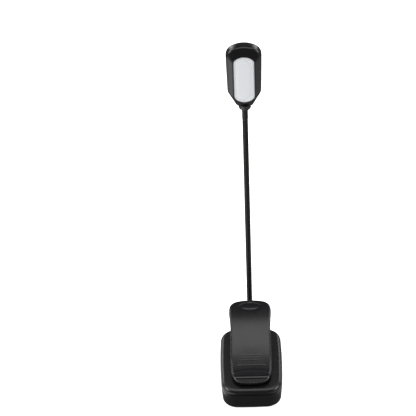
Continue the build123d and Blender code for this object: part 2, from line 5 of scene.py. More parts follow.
import bmesh
import bpy
from bpy.props import FloatProperty, FloatVectorProperty, IntProperty, PointerProperty
from mathutils import Matrix, Vector


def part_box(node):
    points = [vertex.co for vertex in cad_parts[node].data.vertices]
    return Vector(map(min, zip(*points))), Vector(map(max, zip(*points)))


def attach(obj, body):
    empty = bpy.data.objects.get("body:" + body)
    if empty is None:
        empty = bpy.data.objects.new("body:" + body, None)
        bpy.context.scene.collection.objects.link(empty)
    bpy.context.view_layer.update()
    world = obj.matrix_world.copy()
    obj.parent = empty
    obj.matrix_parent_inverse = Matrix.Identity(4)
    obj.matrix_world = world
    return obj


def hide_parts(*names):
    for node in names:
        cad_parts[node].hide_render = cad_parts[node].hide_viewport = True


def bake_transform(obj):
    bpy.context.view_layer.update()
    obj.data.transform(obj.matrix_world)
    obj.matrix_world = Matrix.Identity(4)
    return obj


bl_info = {
    "name": "Clip-on Reading Lamp",
    "version": (1, 0, 0),
    "blender": (4, 5, 0),
    "location": "View3D > Sidebar > Lamp",
    "description": "Makes the visible pieces of a clip-on reading lamp around its frame",
    "category": "Object",
}

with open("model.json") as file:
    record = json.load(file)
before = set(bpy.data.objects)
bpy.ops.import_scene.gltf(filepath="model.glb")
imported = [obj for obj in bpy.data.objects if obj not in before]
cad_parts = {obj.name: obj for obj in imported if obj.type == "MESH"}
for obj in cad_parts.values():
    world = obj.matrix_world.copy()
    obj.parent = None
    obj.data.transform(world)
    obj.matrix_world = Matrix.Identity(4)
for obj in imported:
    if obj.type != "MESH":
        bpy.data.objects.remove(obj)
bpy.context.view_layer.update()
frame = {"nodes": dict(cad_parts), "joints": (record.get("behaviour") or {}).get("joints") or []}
MM = 0.001


def box_mm(node):
    """Lowest and highest corner of a frame node in millimetres."""
    low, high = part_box(node)
    return low / MM, high / MM


# Places worked out from the frame, in millimetres
HEAD_LOW, HEAD_HIGH = box_mm("head_bezel")
LENS_LOW, LENS_HIGH = box_mm("lens_diffuser")
PIN_LOW, PIN_HIGH = box_mm("hinge_pin")
LINK_LOW, LINK_HIGH = box_mm("neck_link_05")
ROOT_LOW = box_mm("neck_link_00")[0]

NECK_Y = (LINK_LOW.y + LINK_HIGH.y) / 2
NECK_RADIUS = (LINK_HIGH.x - LINK_LOW.x) / 2
NECK_START_Y = ROOT_LOW.y
NECK_EXIT_Z = ROOT_LOW.z + NECK_RADIUS
NECK_TOP = box_mm("neck_link_09")[1].z
PIN_Y = (PIN_LOW.y + PIN_HIGH.y) / 2
PIN_Z = (PIN_LOW.z + PIN_HIGH.z) / 2
JOINTS = {joint["name"]: joint for joint in frame["joints"]}


# ---------------------------------------------------------------- colours and settings
def linear(code):
    """Linear colour of an sRGB hex value."""
    channels = [int(code[i:i + 2], 16) / 255 for i in (1, 3, 5)]
    return tuple(c / 12.92 if c <= 0.04045 else ((c + 0.055) / 1.055) ** 2.4 for c in channels)


def colour_property(name, description, code):
    """Colour setting with a default given as an sRGB hex value."""
    return FloatVectorProperty(
        name=name, description=description, subtype="COLOR", size=3, min=0, max=1, default=linear(code))


def size_property(name, description, millimetres):
    """Length setting with a default given in millimetres."""
    return FloatProperty(
        name=name, description=description, unit="LENGTH", subtype="DISTANCE", precision=5, min=0,
        default=millimetres * MM)


class LampColours(bpy.types.PropertyGroup):
    """Colours of the lamp's finishes"""
    shell: colour_property("Base shells", "Satin moulded ABS of the base", "#0e0e10")
    clip: colour_property("Clip", "Glossy moulded ABS of the clip", "#101013")
    head: colour_property("Head", "Semi-gloss moulded ABS of the head", "#0d0d0f")
    neck: colour_property("Neck", "Black coating of the steel hose", "#0a0a0b")
    rubber: colour_property("Rubber", "Soft pads, feet and gland", "#0f0f0f")
    # The window's colour is also the colour of its painted glow.
    diffuser: colour_property("Window", "Milky polycarbonate of the window", "#dfe1e4")


class LampSizes(bpy.types.PropertyGroup):
    """Sizes of the lamp's fine shapes"""
    ridge_pitch: size_property("Ridge pitch", "Distance between the turns of the neck's wire", 1.25)
    ridge_depth: size_property("Ridge depth", "Depth of the groove between two turns", 0.22)
    rim_width: size_property("Clip rim", "Width of the raised rim round the clip", 1.2)
    dish_depth: size_property("Clip dish", "Depth of the clip's face below its rim", 0.45)
    thumb_depth: size_property("Thumb rest", "Depth of the oval thumb rest", 0.2)
    neck_sides: IntProperty(
        name="Neck sides", description="Facets round the neck", min=8, max=48, default=20)


def sizes():
    """The size settings, in the scene."""
    return bpy.context.scene.lamp_sizes


def colours():
    """The colour settings, in the scene."""
    return bpy.context.scene.lamp_colours


# ---------------------------------------------------------------- materials
def add_node(tree, kind, values=None, links=None, **settings):
    """Adds a node with its attributes, socket values and incoming links."""
    node = tree.nodes.new(kind)
    for name, value in settings.items():
        setattr(node, name, value)
    for socket, value in (values or {}).items():
        node.inputs[socket].default_value = value
    for socket, output in (links or {}).items():
        tree.links.new(output, node.inputs[socket])
    return node


def start_material(name, values):
    """New material with one Principled shader. Returns the material, its tree, the shader and the coordinates."""
    material = bpy.data.materials.new(name)
    material.use_nodes = True
    tree = material.node_tree
    tree.nodes.clear()
    shader = add_node(tree, "ShaderNodeBsdfPrincipled", values)
    add_node(tree, "ShaderNodeOutputMaterial", links={"Surface": shader.outputs["BSDF"]})
    place = add_node(tree, "ShaderNodeTexCoord")
    return material, tree, shader, place.outputs["Object"]


def grain(tree, shader, place, size, height, strength=0.5):
    """Fine moulded or cast grain of a real size, in millimetres, as a bump."""
    noise = add_node(tree, "ShaderNodeTexNoise", {"Scale": 1 / (size * MM), "Detail": 3.0, "Roughness": 0.6},
                     {"Vector": place})
    bump = add_node(tree, "ShaderNodeBump", {"Strength": strength, "Distance": height * MM},
                    {"Height": noise.outputs["Fac"]})
    tree.links.new(bump.outputs["Normal"], shader.inputs["Normal"])
    return noise


def handling(tree, shader, place, low, high, patch=14.0):
    """Roughness that drifts between two values over patches of a size in millimetres, as on a handled surface."""
    noise = add_node(tree, "ShaderNodeTexNoise", {"Scale": 1 / (patch * MM), "Detail": 5.0, "Roughness": 0.65},
                     {"Vector": place})
    ramp = add_node(tree, "ShaderNodeMapRange",
                    {"From Min": 0.3, "From Max": 0.7, "To Min": low, "To Max": high},
                    {"Value": noise.outputs["Fac"]})
    tree.links.new(ramp.outputs["Result"], shader.inputs["Roughness"])


def tint(tree, shader, place, dark, light, patch):
    """Base colour that drifts slightly between two colours over patches of a size in millimetres."""
    noise = add_node(tree, "ShaderNodeTexNoise", {"Scale": 1 / (patch * MM), "Detail": 4.0}, {"Vector": place})
    ramp = add_node(tree, "ShaderNodeValToRGB", links={"Fac": noise.outputs["Fac"]})
    ramp.color_ramp.elements[0].position = 0.35
    ramp.color_ramp.elements[0].color = (*dark, 1)
    ramp.color_ramp.elements[1].position = 0.65
    ramp.color_ramp.elements[1].color = (*light, 1)
    tree.links.new(ramp.outputs["Color"], shader.inputs["Base Color"])


def scaled(colour, factor):
    """A colour made darker or lighter."""
    return tuple(min(1.0, c * factor) for c in colour)


def satin_abs():
    """Spark-eroded ABS: an even, very fine grain that spreads its highlights."""
    material, tree, shader, place = start_material("satin moulded ABS", {"IOR": 1.53, "Specular IOR Level": 0.48})
    tint(tree, shader, place, scaled(colours().shell, 0.85), scaled(colours().shell, 1.15), 9.0)
    handling(tree, shader, place, 0.25, 0.32)
    grain(tree, shader, place, 0.45, 0.02, 0.35)
    return material


def gloss_abs():
    """Polished-mould ABS: clean soft reflections, with a faint ripple from the mould."""
    material, tree, shader, place = start_material("gloss moulded ABS", {"IOR": 1.54})
    tint(tree, shader, place, scaled(colours().clip, 0.9), scaled(colours().clip, 1.15), 12.0)
    handling(tree, shader, place, 0.2, 0.28)
    grain(tree, shader, place, 1.6, 0.015, 0.2)
    return material


def head_abs():
    """Semi-gloss ABS of the head: a little smoother than the base."""
    material, tree, shader, place = start_material("semi-gloss moulded ABS", {"IOR": 1.53})
    tint(tree, shader, place, scaled(colours().head, 0.85), scaled(colours().head, 1.1), 8.0)
    handling(tree, shader, place, 0.19, 0.27)
    grain(tree, shader, place, 0.7, 0.012, 0.2)
    return material


def coated_hose():
    """Black lacquer on wound steel wire: satin, with fine drawing marks along the wire."""
    material, tree, shader, place = start_material(
        "black lacquered steel hose", {"IOR": 1.45, "Specular IOR Level": 0.3})
    tint(tree, shader, place, scaled(colours().neck, 0.8), scaled(colours().neck, 1.3), 3.0)
    handling(tree, shader, place, 0.3, 0.42, 6.0)
    grain(tree, shader, place, 0.25, 0.01, 0.3)
    return material


def soft_rubber():
    """Moulded rubber: matt, with a dusty bloom."""
    material, tree, shader, place = start_material("moulded soft rubber", {"IOR": 1.5, "Sheen Weight": 0.06})
    tint(tree, shader, place, scaled(colours().rubber, 0.8), scaled(colours().rubber, 1.35), 2.5)
    handling(tree, shader, place, 0.72, 0.88, 4.0)
    grain(tree, shader, place, 0.3, 0.03, 0.5)
    return material


def milky_polycarbonate_with_painted_glow():
    """Opal polycarbonate under a smooth face: some light enters and spreads inside, and a painted glow (an
    emission in the window's own colour) brightens it though the lamp is not lit.
    """
    material, tree, shader, place = start_material(
        "opal polycarbonate",
        {"IOR": 1.585, "Subsurface Weight": 0.4, "Subsurface Radius": (1.0, 1.0, 1.05),
         # Painted glow: the emission makes the window shine on its own, standing in for studio light, with the
         # lamp switched off.
         "Subsurface Scale": 1.2 * MM, "Emission Color": (*colours().diffuser, 1), "Emission Strength": 0.38})
    tint(tree, shader, place, scaled(colours().diffuser, 0.98), colours().diffuser, 16.0)
    handling(tree, shader, place, 0.28, 0.3, 12.0)
    grain(tree, shader, place, 1.2, 0.012, 0.2)
    return material


def metal(name, code, low, high, scratch):
    """Bare metal with fine marks of a width in millimetres."""
    material, tree, shader, place = start_material(name, {"Metallic": 1.0})
    tint(tree, shader, place, scaled(linear(code), 0.85), linear(code), 1.5)
    handling(tree, shader, place, low, high, 1.2)
    grain(tree, shader, place, scratch, 0.01, 0.4)
    return material


def simple_finish(name, code, low, high, size):
    """Plain moulded or coated finish with its own grain size, for small inner pieces."""
    material, tree, shader, place = start_material(name, {"IOR": 1.5})
    tint(tree, shader, place, scaled(linear(code), 0.85), scaled(linear(code), 1.1), 2.0)
    handling(tree, shader, place, low, high, 3.0)
    grain(tree, shader, place, size, 0.02, 0.4)
    return material


def cell_jacket():
    """Printed foil jacket: a plain two-colour band along the cell's length, with no marks."""
    material, tree, shader, place = start_material("printed foil jacket", {"Metallic": 0.6})
    split = add_node(tree, "ShaderNodeSeparateXYZ", links={"Vector": place})
    low, high = box_mm("battery_cell_1")
    border = (low.y + (high.y - low.y) * 0.72) * MM
    step = add_node(tree, "ShaderNodeMapRange",
                    {"From Min": border - 0.0001, "From Max": border + 0.0001}, {"Value": split.outputs["Y"]})
    ramp = add_node(tree, "ShaderNodeValToRGB", links={"Fac": step.outputs["Result"]})
    ramp.color_ramp.elements[0].color = (*linear("#3c4350"), 1)
    ramp.color_ramp.elements[1].color = (*linear("#b08a4a"), 1)
    tree.links.new(ramp.outputs["Color"], shader.inputs["Base Color"])
    handling(tree, shader, place, 0.25, 0.4, 4.0)
    grain(tree, shader, place, 0.5, 0.01, 0.3)
    return material


def board_mask(name, code):
    """Solder mask over glass cloth: a smooth varnish with the weave just showing through."""
    material, tree, shader, place = start_material(name, {"IOR": 1.5, "Coat Weight": 0.4})
    weave = add_node(tree, "ShaderNodeTexChecker", {"Scale": 1 / (0.8 * MM)}, {"Vector": place})
    weave.inputs["Color1"].default_value = (*linear(code), 1)
    weave.inputs["Color2"].default_value = (*scaled(linear(code), 0.82), 1)
    tree.links.new(weave.outputs["Color"], shader.inputs["Base Color"])
    handling(tree, shader, place, 0.3, 0.45, 3.0)
    return material


def floor_paper():
    """Matt white backdrop paper, lit through from below so that shadows stay faint."""
    material, tree, shader, place = start_material(
        "matt backdrop paper", {"Roughness": 0.9, "Emission Color": (1, 1, 1, 1), "Emission Strength": 0.85})
    tint(tree, shader, place, linear("#f4f4f3"), linear("#f7f7f6"), 60.0)
    return material


MATERIALS = {}


def make_materials():
    """Every finish once, by the name of the record's slot."""
    MATERIALS.update({
        "shell_black": satin_abs(),
        "clip_gloss_black": gloss_abs(),
        "head_black": head_abs(),
        "neck_black": coated_hose(),
        "rubber_black": soft_rubber(),
        "diffuser_white": milky_polycarbonate_with_painted_glow(),
        "knob_black": simple_finish("ribbed ABS knob", "#26262a", 0.4, 0.5, 0.4),
        "screw_steel": metal("zinc plated steel", "#b9babb", 0.28, 0.42, 0.15),
        "pin_steel": metal("ground steel", "#c4c4c6", 0.16, 0.26, 0.1),
        "spring_steel": metal("drawn spring wire", "#8f9093", 0.25, 0.38, 0.08),
        "contact_plate": metal("nickel plated steel", "#c8c6c0", 0.2, 0.34, 0.2),
        "cell_jacket": cell_jacket(),
        "board_green": board_mask("green solder mask", "#1c5a33"),
        "board_white": board_mask("white solder mask", "#e2e2de"),
        "chip_black": simple_finish("epoxy chip", "#1a1a1a", 0.5, 0.65, 0.2),
        "led_yellow": simple_finish("phosphor silicone", "#e8cf6a", 0.35, 0.45, 0.3),
        "wire_insulation": simple_finish("soft PVC insulation", "#8c1f1f", 0.4, 0.5, 0.3),
        "reflector_white": simple_finish("white ABS reflector", "#eeeeec", 0.35, 0.45, 0.4),
    })


# ---------------------------------------------------------------- piece helpers
def new_piece(name, bm, body, slot, replaced=(), angle=38, scale=MM):
    """Turns a finished bmesh into a piece that rides on a body and stands for frame nodes."""
    bmesh.ops.scale(bm, vec=(scale, scale, scale), verts=bm.verts)
    mesh = bpy.data.meshes.new(name)
    bm.to_mesh(mesh)
    bm.free()
    if "custom_normal" in mesh.attributes:
        mesh.attributes.remove(mesh.attributes["custom_normal"])
    mesh.shade_smooth()
    mesh.set_sharp_from_angle(angle=math.radians(angle))
    mesh.materials.append(MATERIALS[slot])
    piece = bpy.data.objects.new(name, mesh)
    bpy.context.scene.collection.objects.link(piece)
    if body:
        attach(piece, body)
    if replaced:
        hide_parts(*replaced)
    return piece


def soften(piece, radius, segments=3, angle=35):
    """Rounds the sharp edges of a piece."""
    bevel = piece.modifiers.new("soft edges", "BEVEL")
    bevel.width = radius
    bevel.segments = segments
    bevel.limit_method = "ANGLE"
    bevel.angle_limit = math.radians(angle)
    bevel.harden_normals = True


def even_shading(piece):
    """Weights the shading by face size, so that flats stay flat beside rounded edges."""
    weighted = piece.modifiers.new("even shading", "WEIGHTED_NORMAL")
    weighted.keep_sharp = True


def moulding(name, node, body, slot, angle=32):
    """Copy of a frame node with joined faces and smooth shading, in a moulded finish."""
    bm = bmesh.new()
    bm.from_mesh(frame["nodes"][node].data)
    bmesh.ops.remove_doubles(bm, verts=bm.verts, dist=2e-6)
    bmesh.ops.dissolve_degenerate(bm, dist=1e-6, edges=bm.edges)
    piece = new_piece(name, bm, body, slot, (node,), angle, scale=1.0)
    even_shading(piece)
    return piece


def dress(node, slot):
    """Gives a frame node that is shown as it is a finish by slot."""
    mesh = frame["nodes"][node].data
    mesh.materials.clear()
    mesh.materials.append(MATERIALS[slot])


def ring(bm, points):
    """Closed loop of edges through points."""
    verts = [bm.verts.new(point) for point in points]
    return [bm.edges.new((verts[i], verts[(i + 1) % len(verts)])) for i in range(len(verts))]


def bridge(bm, rings, closed=False):
    """Skins a row of loops, and back to the first one when closed."""
    pairs = list(zip(rings, rings[1:]))
    if closed:
        pairs.append((rings[-1], rings[0]))
    for first, second in pairs:
        bmesh.ops.bridge_loops(bm, edges=first + second)


def cap(bm, edges):
    """Closes a loop with one face."""
    bmesh.ops.contextual_create(bm, geom=edges)


def smooth_step(low, high, value):
    """0 below low, 1 above high, with a soft change between."""
    t = min(1.0, max(0.0, (value - low) / (high - low)))
    return t * t * (3 - 2 * t)


def arc(start, middle, end, count):
    """Points on the circle through three points, without the last one."""
    ax, az = start
    bx, bz = middle
    cx, cz = end
    d = 2 * (ax * (bz - cz) + bx * (cz - az) + cx * (az - bz))
    a2, b2, c2 = ax * ax + az * az, bx * bx + bz * bz, cx * cx + cz * cz
    x = (a2 * (bz - cz) + b2 * (cz - az) + c2 * (az - bz)) / d
    z = (a2 * (cx - bx) + b2 * (ax - cx) + c2 * (bx - ax)) / d
    radius = math.hypot(ax - x, az - z)
    first = math.atan2(az - z, ax - x)
    through = (math.atan2(bz - z, bx - x) - first) % math.tau
    turn = (math.atan2(cz - z, cx - x) - first) % math.tau
    if through > turn:
        turn -= math.tau
    steps = [first + turn * i / count for i in range(count)]
    return [(x + radius * math.cos(t), z + radius * math.sin(t)) for t in steps]


def line(start, end, count):
    """Evenly spaced points on a straight stretch, without the last one."""
    return [(start[0] + (end[0] - start[0]) * i / count, start[1] + (end[1] - start[1]) * i / count)
            for i in range(count)]


def eased(points, passes):
    """Rounds the corners of a closed outline by averaging neighbours."""
    for _ in range(passes):
        points = [((points[i - 1][0] + 2 * p[0] + points[(i + 1) % len(points)][0]) / 4,
                   (points[i - 1][1] + 2 * p[1] + points[(i + 1) % len(points)][1]) / 4)
                  for i, p in enumerate(points)]
    return points


# ---------------------------------------------------------------- head
HEAD_TOP, HEAD_FOOT = HEAD_HIGH.z, HEAD_LOW.z
HEAD_HALF = HEAD_HIGH.x
HEAD_HALF_LOW, HEAD_HALF_FOOT = HEAD_HALF - 0.75, 5.9
HEAD_SHOULDER, HEAD_HIP = HEAD_TOP - 10.4, HEAD_FOOT + 14.1
HEAD_FRONT, SEAM_Y = HEAD_LOW.y, HEAD_HIGH.y
RIM_FRONT = SEAM_Y - 2.6
LENS_FLANGE = 0.6
WINDOW_HALF = LENS_HIGH.x - LENS_FLANGE
WINDOW_TOP, WINDOW_FOOT = LENS_HIGH.z - LENS_FLANGE, LENS_LOW.z + LENS_FLANGE


def head_outline(inset):
    """Outline of the head as seen from the front: domed top, nearly straight sides, tapered foot."""
    top, foot = HEAD_TOP - inset, HEAD_FOOT + inset
    a, b, c = HEAD_HALF - inset, HEAD_HALF_LOW - inset, HEAD_HALF_FOOT - 0.4 * inset
    rise = top - HEAD_SHOULDER
    corner_x, corner_z = a * 0.72, HEAD_SHOULDER + rise * 0.71
    mid_x, mid_z = a * 0.94, HEAD_SHOULDER + rise * 0.36
    points = arc((a, HEAD_SHOULDER), (mid_x, mid_z), (corner_x, corner_z), 9)
    points += arc((corner_x, corner_z), (0, top), (-corner_x, corner_z), 20)
    points += arc((-corner_x, corner_z), (-mid_x, mid_z), (-a, HEAD_SHOULDER), 9)
    points += line((-a, HEAD_SHOULDER), (-b, HEAD_HIP), 20)
    points += line((-b, HEAD_HIP), (-c, foot), 10)
    points += line((-c, foot), (c, foot), 8)
    points += line((c, foot), (b, HEAD_HIP), 10)
    points += line((b, HEAD_HIP), (a, HEAD_SHOULDER), 20)
    return eased(points, 1)


def window_outline(grow):
    """Outline of the window: straight sides and low arches at both ends."""
    half = WINDOW_HALF + grow
    top, foot = WINDOW_TOP + grow, WINDOW_FOOT - grow
    rise, knee = 6.6, 0.70 * half
    points = arc((half, top - rise), (0.93 * half, top - 3.9), (knee, top - 1.9), 9)
    points += arc((knee, top - 1.9), (0, top), (-knee, top - 1.9), 20)
    points += arc((-knee, top - 1.9), (-0.93 * half, top - 3.9), (-half, top - rise), 9)
    points += line((-half, top - rise), (-half, foot + rise), 20)
    points += arc((-half, foot + rise), (-0.93 * half, foot + 3.9), (-knee, foot + 1.9), 10)
    points += arc((-knee, foot + 1.9), (0, foot), (knee, foot + 1.9), 8)
    points += arc((knee, foot + 1.9), (0.93 * half, foot + 3.9), (half, foot + rise), 10)
    points += line((half, foot + rise), (half, top - rise), 20)
    return points


def front_ring(bm, outline, y):
    """Loop of an outline standing upright at a depth."""
    return ring(bm, [(x, y, z) for x, z in outline])


def make_bezel():
    """Front frame: a rounded rim, faces sloping to the window, and a dark chamfer round it."""
    bm = bmesh.new()
    rim = [(0.3, 0.0), (0.05, 0.2), (0.0, 0.4), (0.0, 1.3), (0.04, 1.65), (0.14, 2.0), (0.3, 2.27),
           (0.52, 2.48), (0.8, 2.63), (1.05, 2.66), (1.22, 2.58)]
    rings = [front_ring(bm, head_outline(inset), SEAM_Y - depth) for inset, depth in rim]
    rings += [
        front_ring(bm, window_outline(1.15), HEAD_FRONT + 0.1),
        front_ring(bm, window_outline(1.05), HEAD_FRONT + 0.01),
        front_ring(bm, window_outline(0.4), HEAD_FRONT + 0.01),
        front_ring(bm, window_outline(0.3), HEAD_FRONT + 0.12),
        front_ring(bm, window_outline(0.26), HEAD_FRONT + 1.5),
        front_ring(bm, window_outline(0.12), HEAD_FRONT + 2.5),
        front_ring(bm, head_outline(1.3), SEAM_Y - 1.4),
        front_ring(bm, head_outline(1.3), SEAM_Y),
    ]
    bridge(bm, rings, closed=True)
    bmesh.ops.recalc_face_normals(bm, faces=bm.faces)
    return new_piece("head_front_frame", bm, "head", "head_black", ("head_bezel",), 30)


def make_lens():
    """Milky window: a rounded edge, a fine step and a slightly crowned inner panel."""
    bm = bmesh.new()
    face = HEAD_FRONT + 0.8
    steps = [(0.0, RIM_FRONT + 0.6 - face), (0.0, 0.3), (0.08, 0.1), (0.28, 0.0), (1.3, -0.02), (1.42, 0.1),
             (1.5, 0.4), (1.9, 0.4), (1.98, 0.1), (2.1, -0.1), (2.3, -0.22), (4.0, -0.27), (5.8, -0.28)]
    rings = [front_ring(bm, window_outline(-inset), face + depth) for inset, depth in steps]
    bridge(bm, rings)
    cap(bm, rings[-1])
    cap(bm, rings[0])
    bmesh.ops.recalc_face_normals(bm, faces=bm.faces)
    return new_piece("window_panel", bm, "head", "diffuser_white", ("lens_diffuser",), 40)


class LAMP_OT_head(bpy.types.Operator):
    """Makes the head: front frame, window, back cover, collar and what it holds"""
    bl_idname = "lamp.head"
    bl_label = "Head"

    def execute(self, context):
        make_bezel()
        make_lens()
        moulding("head_back_cover", "head_rear_shell", "head", "head_black")
        moulding("neck_collar", "head_collar", "head", "shell_black")
        moulding("neck_sleeve", "neck_ferrule", "head", "neck_black")
        dress("reflector", "reflector_white")
        dress("led_board", "board_white")
        dress("led_chips", "led_yellow")
        dress("head_screws", "screw_steel")
        dress("head_leads", "wire_insulation")
        return {"FINISHED"}


# ---------------------------------------------------------------- neck
BEND_RADIUS = NECK_Y - (NECK_START_Y + 16.0)
LEAD_LENGTH = NECK_Y - BEND_RADIUS - NECK_START_Y
BEND_LENGTH = BEND_RADIUS * math.pi / 2
NECK_LENGTH = LEAD_LENGTH + BEND_LENGTH + NECK_TOP - NECK_EXIT_Z - BEND_RADIUS
HOSE_CROWN = 0.24
HOSE_WALL_SHARE = 0.6
ROWS_PER_TURN = 7


def neck_place(s):
    """Point of the neck's centreline and the direction across it, a distance from its root."""
    if s < LEAD_LENGTH:
        return Vector((0, NECK_START_Y + s, NECK_EXIT_Z)), Vector((0, 0, 1))
    if s < LEAD_LENGTH + BEND_LENGTH:
        angle = (s - LEAD_LENGTH) / BEND_RADIUS
        inward = Vector((0, -math.sin(angle), math.cos(angle)))
        centre = Vector((0, NECK_START_Y + LEAD_LENGTH, NECK_EXIT_Z + BEND_RADIUS))
        return centre - inward * BEND_RADIUS, inward
    z = NECK_EXIT_Z + BEND_RADIUS + s - LEAD_LENGTH - BEND_LENGTH
    return Vector((0, NECK_Y, z)), Vector((0, -1, 0))


def neck_distance(joint):
    """Distance of a neck joint from the root, along the centreline."""
    x, y, z = (value / MM for value in joint["pos_m"])
    if abs(y - NECK_Y) < 0.5:
        return LEAD_LENGTH + BEND_LENGTH + z - NECK_EXIT_Z - BEND_RADIUS
    return LEAD_LENGTH + BEND_RADIUS * math.asin((y - NECK_START_Y - LEAD_LENGTH) / BEND_RADIUS)


def hose_radius(s, turn):
    """Radius of the wound hose at a distance along it and a share of a turn round it."""
    pitch = sizes().ridge_pitch / MM
    depth = sizes().ridge_depth / MM
    phase = (s / pitch - turn) % 1.0
    crown = math.sqrt(max(0.0, 1 - (2 * phase - 1) ** 2))
    return NECK_RADIUS + HOSE_CROWN - depth * (1 - crown)


def hose_mesh(start, end):
    """Wound hose between two distances along the neck, closed with a wall thickness at its ends."""
    sides = sizes().neck_sides
    step = sizes().ridge_pitch / MM / ROWS_PER_TURN
    rows = max(2, round((end - start) / step))
    bm = bmesh.new()
    bmesh.ops.create_grid(bm, x_segments=sides, y_segments=rows, size=1)
    for vert in bm.verts:
        turn = (vert.co.x + 1) / 2
        s = start + (end - start) * (vert.co.y + 1) / 2
        centre, inward = neck_place(s)
        angle = turn * math.tau
        out = Vector((math.sin(angle), 0, 0)) + inward * math.cos(angle)
        vert.co = centre + out * hose_radius(s, turn)
    bmesh.ops.remove_doubles(bm, verts=bm.verts, dist=1e-4)
    rims = [edge for edge in bm.edges if edge.is_boundary]
    inner = bmesh.ops.extrude_edge_only(bm, edges=rims)["geom"]
    for vert in (item for item in inner if isinstance(item, bmesh.types.BMVert)):
        near = start if (vert.co - neck_place(start)[0]).length < (vert.co - neck_place(end)[0]).length else end
        centre = neck_place(near)[0]
        vert.co = centre + (vert.co - centre) * HOSE_WALL_SHARE
    bmesh.ops.holes_fill(bm, edges=[edge for edge in bm.edges if edge.is_boundary], sides=0)
    bmesh.ops.recalc_face_normals(bm, faces=bm.faces)
    return bm


def make_hose():
    """One length of hose for each neck joint, meeting half-way between joints."""
    bends = [JOINTS[f"neck_bend_{i}"] for i in range(1, 10)]
    places = [neck_distance(bend) for bend in bends]
    ends = [0] + [(a + b) / 2 for a, b in zip(places, places[1:])] + [NECK_LENGTH]
    for i, bend in enumerate(bends):
        replaced = [f"neck_link_{i + 1:02d}", f"neck_wire_{i + 1:02d}"]
        if i == 0:
            replaced += ["neck_link_00", "neck_wire_00"]
        bm = hose_mesh(ends[i], ends[i + 1])
        piece = new_piece(f"hose_{i + 1}", bm, None, "neck_black", replaced, 60)
        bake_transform(piece)


class LAMP_OT_neck(bpy.types.Operator):
    """Makes the wound hose of the neck, its gland and its anchor"""
    bl_idname = "lamp.neck"
    bl_label = "Neck"

    def execute(self, context):
        make_hose()
        moulding("gland", "neck_gland", "base", "rubber_black")
        dress("neck_anchor", "contact_plate")
        dress("anchor_screws", "screw_steel")
        return {"FINISHED"}


# ---------------------------------------------------------------- clip
LEVER_RADIUS = 80.3
LEVER_FLAT_Y, LEVER_FLAT_Z = -14.0, 24.5
LEVER_FIRST_SLOPE = math.radians(2.0)
LEVER_CENTRE_Y = LEVER_FLAT_Y - LEVER_RADIUS * math.sin(LEVER_FIRST_SLOPE)
LEVER_CENTRE_Z = LEVER_FLAT_Z + LEVER_RADIUS * math.cos(LEVER_FIRST_SLOPE)
LEVER_THICKNESS = 2.2
TIP_FALL = 0.6
RIDGE_Y, LINE_Y, ARCH_Y, ARCH_RISE = -25.0, -11.4, -15.3, 3.0
LEVER_FRONT, LEVER_END = -31.5, 39.8
THUMB_Y = 36.1
GROOVES_Y = (-1.2, -3.4, -5.6)
COVER_TOP = 20.0
LUG_INNER, LUG_OUTER, LUG_RADIUS, LUG_BORE = 8.2, 11.1, 2.9, 1.26
SKIRT_FIRST_Y, SKIRT_LENGTH, SKIRT_STEPS = 20.5, 16.0, 24
LEVER_OUTLINE = [(-31.5, 5.5), (-31.1, 7.6), (-30.3, 9.6), (-28.9, 11.6), (-27.3, 13.1), (-25.3, 14.3),
                 (-22.8, 15.1), (-20.0, 15.5), (-12.0, 16.25), (-4.0, 16.6), (9.0, 16.5), (20.0, 16.2),
                 (26.0, 16.45), (31.0, 17.0), (33.8, 17.0), (35.8, 16.5), (37.5, 15.2), (38.7, 12.9),
                 (39.5, 9.6), (39.8, 6.5)]


def lever_half_width(y):
    """Half the lever's width at a distance along it, on a smooth curve through a few widths."""
    points = LEVER_OUTLINE
    for i in range(len(points) - 1):
        y0, w0 = points[i]
        y1, w1 = points[i + 1]
        if y <= y1:
            break
    before = points[max(0, i - 1)]
    after = points[min(len(points) - 1, i + 2)]
    t = (y - y0) / (y1 - y0)
    m0 = (w1 - before[1]) / max(1e-6, y1 - before[0]) * (y1 - y0)
    m1 = (after[1] - w0) / max(1e-6, after[0] - y0) * (y1 - y0)
    if i == 0:
        m0 = (w1 - w0) * 1.2
    return ((2 * t ** 3 - 3 * t ** 2 + 1) * w0 + (t ** 3 - 2 * t ** 2 + t) * m0
            + (3 * t ** 2 - 2 * t ** 3) * w1 + (t ** 3 - t ** 2) * m1)


def lever_point(x, y, height):
    """Point at a height off the lever's top face."""
    if y < LEVER_FLAT_Y:
        return Vector((x, y, LEVER_FLAT_Z + height))
    sine = (y - LEVER_CENTRE_Y) / LEVER_RADIUS
    cosine = math.sqrt(1 - sine * sine)
    reach = LEVER_RADIUS - height
    return Vector((x, LEVER_CENTRE_Y + reach * sine, LEVER_CENTRE_Z - reach * cosine))


